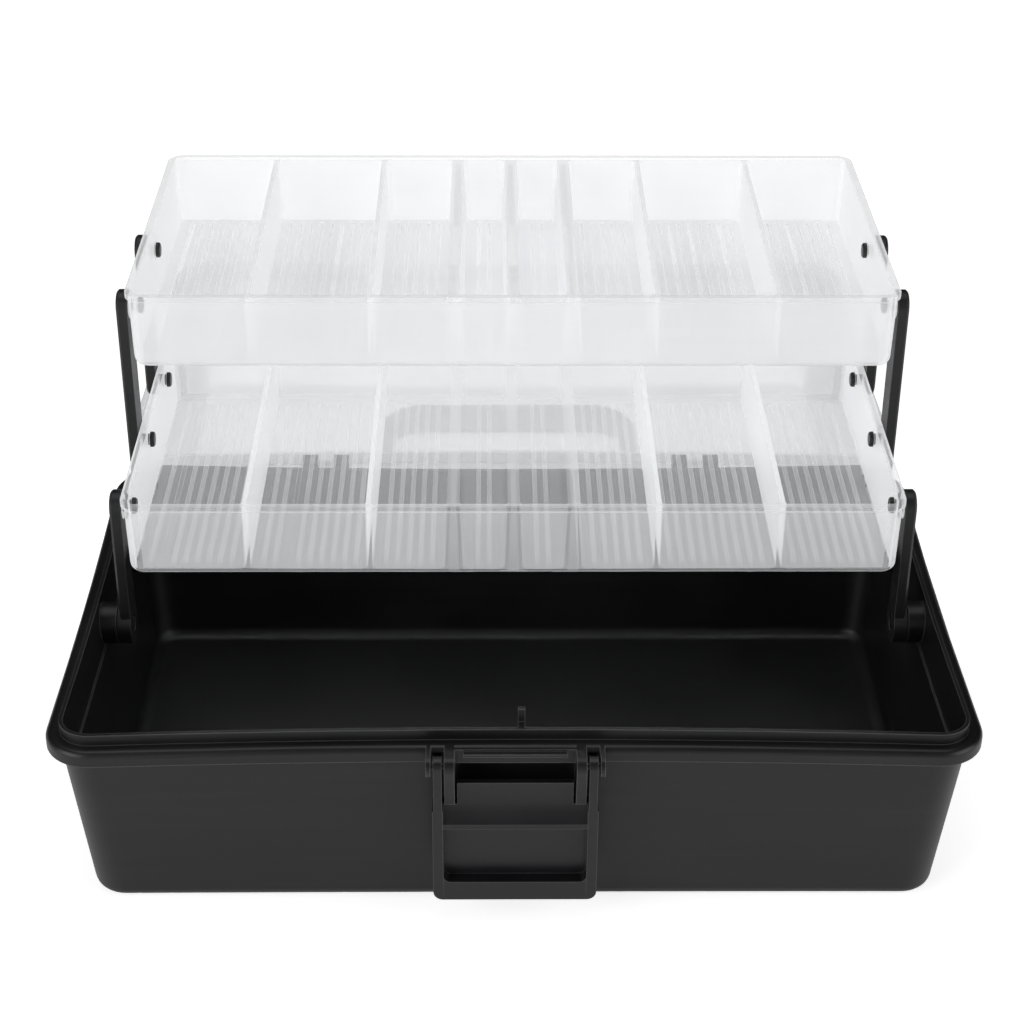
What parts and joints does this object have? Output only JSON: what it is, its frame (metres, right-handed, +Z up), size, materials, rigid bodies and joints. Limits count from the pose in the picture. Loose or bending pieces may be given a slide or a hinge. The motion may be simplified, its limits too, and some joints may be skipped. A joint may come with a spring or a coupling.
{
  "type": "tackle box",
  "caption": "Open tackle box: black tub, clear ribbed trays on folding cantilever arms, clear hinged lid, bail handle and swing latch.",
  "frame": {"origin": "centre of the tub's underside", "axes": "+X to the right, seen from the latch; +Y to the rear, towards the open lid; +Z up"},
  "size_m": [0.3282, 0.4135, 0.1848],
  "materials": {
    "black_moulding": "satin moulded polypropylene",
    "black_arm": "satin moulded polypropylene",
    "black_pin": "satin",
    "clear_tray": "translucent natural polypropylene",
    "clear_lid": "translucent natural polypropylene",
    "steel_pin": "plain"
  },
  "bodies": {
    "base": {"base_tub": "black_moulding", "base_front_pin_left": "black_pin", "base_front_pin_right": "black_pin", "base_rear_pin_left": "black_pin", "base_rear_pin_right": "black_pin", "hinge_pin_left": "steel_pin", "hinge_pin_right": "steel_pin", "latch_pin_left": "black_pin", "latch_pin_right": "black_pin"},
    "lid": {"lid": "clear_lid", "handle_pin_left": "black_pin", "handle_pin_right": "black_pin"},
    "handle": {"handle": "black_moulding"},
    "latch": {"latch": "black_moulding"},
    "lower_tray": {"lower_tray": "clear_tray"},
    "upper_tray": {"upper_tray": "clear_tray"},
    "lower_arm_left": {"lower_arm_left": "black_arm", "lower_front_pin_left": "black_pin"},
    "long_arm_left": {"long_arm_left": "black_arm", "lower_middle_pin_left": "black_pin", "upper_front_pin_left": "black_pin"},
    "upper_arm_left": {"upper_arm_left": "black_arm", "lower_rear_pin_left": "black_pin", "upper_rear_pin_left": "black_pin"},
    "lower_arm_right": {"lower_arm_right": "black_arm", "lower_front_pin_right": "black_pin"},
    "long_arm_right": {"long_arm_right": "black_arm", "lower_middle_pin_right": "black_pin", "upper_front_pin_right": "black_pin"},
    "upper_arm_right": {"upper_arm_right": "black_arm", "lower_rear_pin_right": "black_pin", "upper_rear_pin_right": "black_pin"}
  },
  "joints": [
    {"name": "tray_fold", "type": "hinge", "parent": "base", "child": "long_arm_left", "pos_m": [0, 0.0439, 0.0656], "axis": [1, 0, 0], "range_deg": [0, 62.44]},
    {"name": "long_arm_right_fold", "type": "hinge", "parent": "base", "child": "long_arm_right", "pos_m": [0, 0.0439, 0.0656], "axis": [1, 0, 0], "range_deg": [0, 62.44]},
    {"name": "lower_arm_left_fold", "type": "hinge", "parent": "base", "child": "lower_arm_left", "pos_m": [0, -0.0069, 0.0656], "axis": [1, 0, 0], "range_deg": [0, 62.44]},
    {"name": "lower_arm_right_fold", "type": "hinge", "parent": "base", "child": "lower_arm_right", "pos_m": [0, -0.0069, 0.0656], "axis": [1, 0, 0], "range_deg": [0, 62.44]},
    {"name": "lower_tray_level", "type": "hinge", "parent": "long_arm_left", "child": "lower_tray", "pos_m": [0, 0.0439, 0.1173], "axis": [1, 0, 0], "range_deg": [-62.44, 0]},
    {"name": "upper_tray_level", "type": "hinge", "parent": "long_arm_left", "child": "upper_tray", "pos_m": [0, 0.0439, 0.1748], "axis": [1, 0, 0], "range_deg": [-62.44, 0]},
    {"name": "upper_arm_left_fold", "type": "hinge", "parent": "lower_tray", "child": "upper_arm_left", "pos_m": [0, 0.0947, 0.1173], "axis": [1, 0, 0], "range_deg": [0, 62.44]},
    {"name": "upper_arm_right_fold", "type": "hinge", "parent": "lower_tray", "child": "upper_arm_right", "pos_m": [0, 0.0947, 0.1173], "axis": [1, 0, 0], "range_deg": [0, 62.44]},
    {"name": "lid_hinge", "type": "hinge", "parent": "base", "child": "lid", "pos_m": [0, 0.10385, 0.0735], "axis": [1, 0, 0], "range_deg": [0, 180]},
    {"name": "latch_swing", "type": "hinge", "parent": "base", "child": "latch", "pos_m": [0, -0.10185, 0.069], "axis": [-1, 0, 0], "range_deg": [0, 180]},
    {"name": "handle_swing", "type": "hinge", "parent": "lid", "child": "handle", "pos_m": [0, 0.2002, 0.00578], "axis": [-1, 0, 0], "range_deg": [0, 180]}
  ],
  "couplings": [
    {"joint": "long_arm_right_fold", "follows": "tray_fold", "ratio": 1},
    {"joint": "lower_arm_left_fold", "follows": "tray_fold", "ratio": 1},
    {"joint": "lower_arm_right_fold", "follows": "tray_fold", "ratio": 1},
    {"joint": "lower_tray_level", "follows": "tray_fold", "ratio": -1},
    {"joint": "upper_tray_level", "follows": "tray_fold", "ratio": -1},
    {"joint": "upper_arm_left_fold", "follows": "tray_fold", "ratio": 1},
    {"joint": "upper_arm_right_fold", "follows": "tray_fold", "ratio": 1},
    {"joint": "lid_hinge", "follows": "tray_fold", "ratio": 2.8827}
  ]
}
